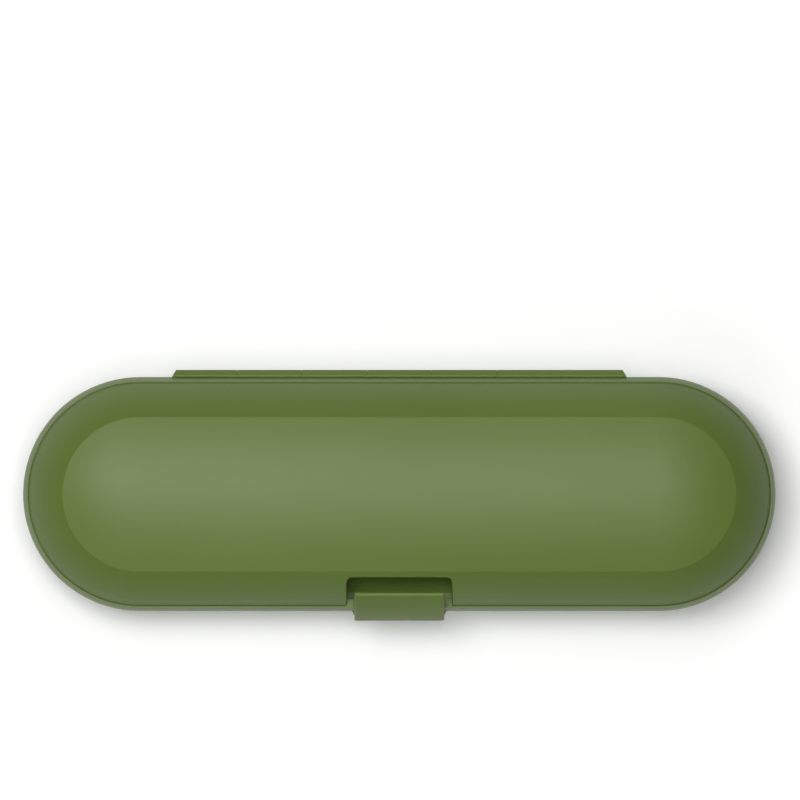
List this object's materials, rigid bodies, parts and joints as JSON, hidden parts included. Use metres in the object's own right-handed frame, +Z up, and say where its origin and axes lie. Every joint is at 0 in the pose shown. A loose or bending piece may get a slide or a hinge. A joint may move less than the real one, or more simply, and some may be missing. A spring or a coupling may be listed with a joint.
{
  "type": "electric toothbrush travel case",
  "caption": "Pill-shaped hinged travel case for an electric toothbrush, with a barrel-shaped base, a domed lid, a front snap latch and an inner tray.",
  "frame": {"origin": "middle of the flat underside that the case rests on", "axes": "+X along the case to the right as seen from the latch, +Y towards the hinge, +Z up"},
  "size_m": [0.22, 0.0733, 0.0411],
  "materials": {
    "shell_plastic": "satin moulded polypropylene, olive green",
    "tray_plastic": "matt moulded polypropylene, darker olive",
    "pad_rubber": "soft matt elastomer",
    "pin_steel": "drawn stainless wire"
  },
  "bodies": {
    "base": {"base_shell": "shell_plastic", "inner_tray": "tray_plastic", "handle_pad_left": "pad_rubber", "handle_pad_right": "pad_rubber", "hinge_pin": "pin_steel"},
    "lid": {"lid_shell": "shell_plastic", "lid_pad_left": "pad_rubber", "lid_pad_right": "pad_rubber"},
    "latch": {"latch": "shell_plastic", "latch_pin": "pin_steel"}
  },
  "joints": [
    {"name": "lid_hinge", "type": "hinge", "parent": "base", "child": "lid", "pos_m": [0, 0.03453, 0.0202], "axis": [-1, 0, 0], "range_deg": [0, 175]},
    {"name": "latch_pivot", "type": "hinge", "parent": "base", "child": "latch", "pos_m": [0, -0.0357, 0.0215], "axis": [1, 0, 0], "range_deg": [0, 105]}
  ]
}
